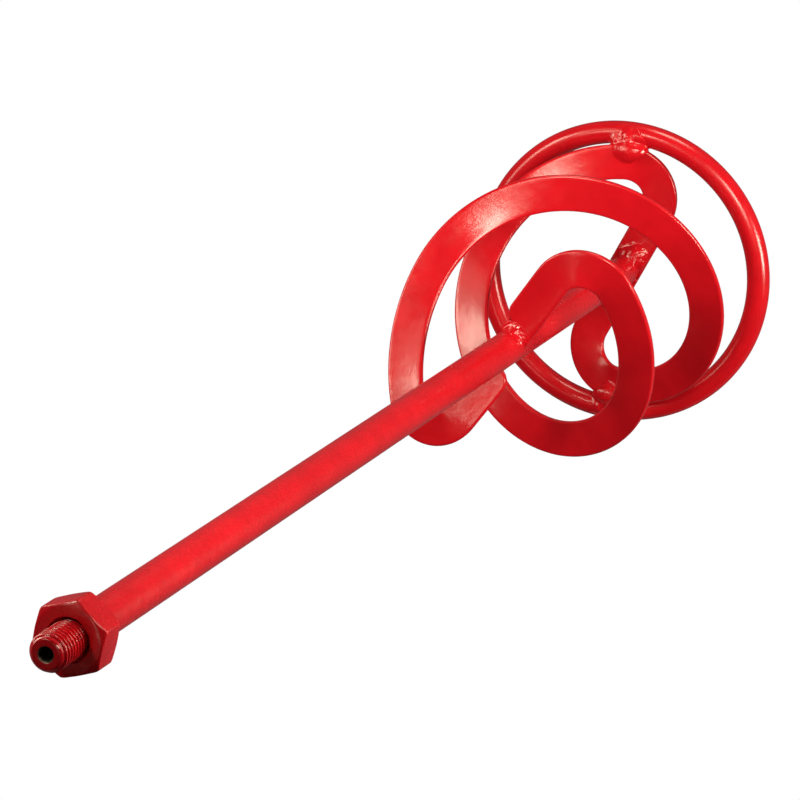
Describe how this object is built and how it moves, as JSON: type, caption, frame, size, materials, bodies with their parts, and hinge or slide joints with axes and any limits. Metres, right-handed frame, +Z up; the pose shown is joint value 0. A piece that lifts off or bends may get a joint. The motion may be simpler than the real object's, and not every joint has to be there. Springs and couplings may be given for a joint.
{
  "type": "mortar mixing paddle",
  "caption": "Welded steel mixing paddle: threaded shaft with a drive hexagon, paired flat-bar spiral blades and a floor ring, powder-coated red",
  "frame": {"origin": "on the shaft's axis, level with the underside of the floor ring", "axes": "+Z up the shaft to the threaded end; +X and +Y across, with blade_a's foot heading 25.4 degrees from +X towards +Y"},
  "size_m": [0.1404, 0.1404, 0.6],
  "materials": {
    "shaft_coat": "glossy red powder coat on turned bar",
    "blade_coat": "glossy red powder coat with fine orange peel on flat bar",
    "ring_coat": "glossy red powder coat on round bar",
    "weld_coat": "glossy red powder coat over rippled weld metal"
  },
  "bodies": {
    "root": {"shaft": "shaft_coat", "drive_hexagon": "shaft_coat", "floor_ring": "ring_coat", "blade_a": "blade_coat", "blade_b": "blade_coat", "blade_a_top_weld": "weld_coat", "blade_b_top_weld": "weld_coat", "blade_a_ring_weld": "weld_coat", "blade_b_ring_weld": "weld_coat", "blade_a_foot_weld": "weld_coat", "blade_b_foot_weld": "weld_coat", "hexagon_weld": "weld_coat", "ring_seam_weld": "weld_coat"}
  },
  "joints": []
}
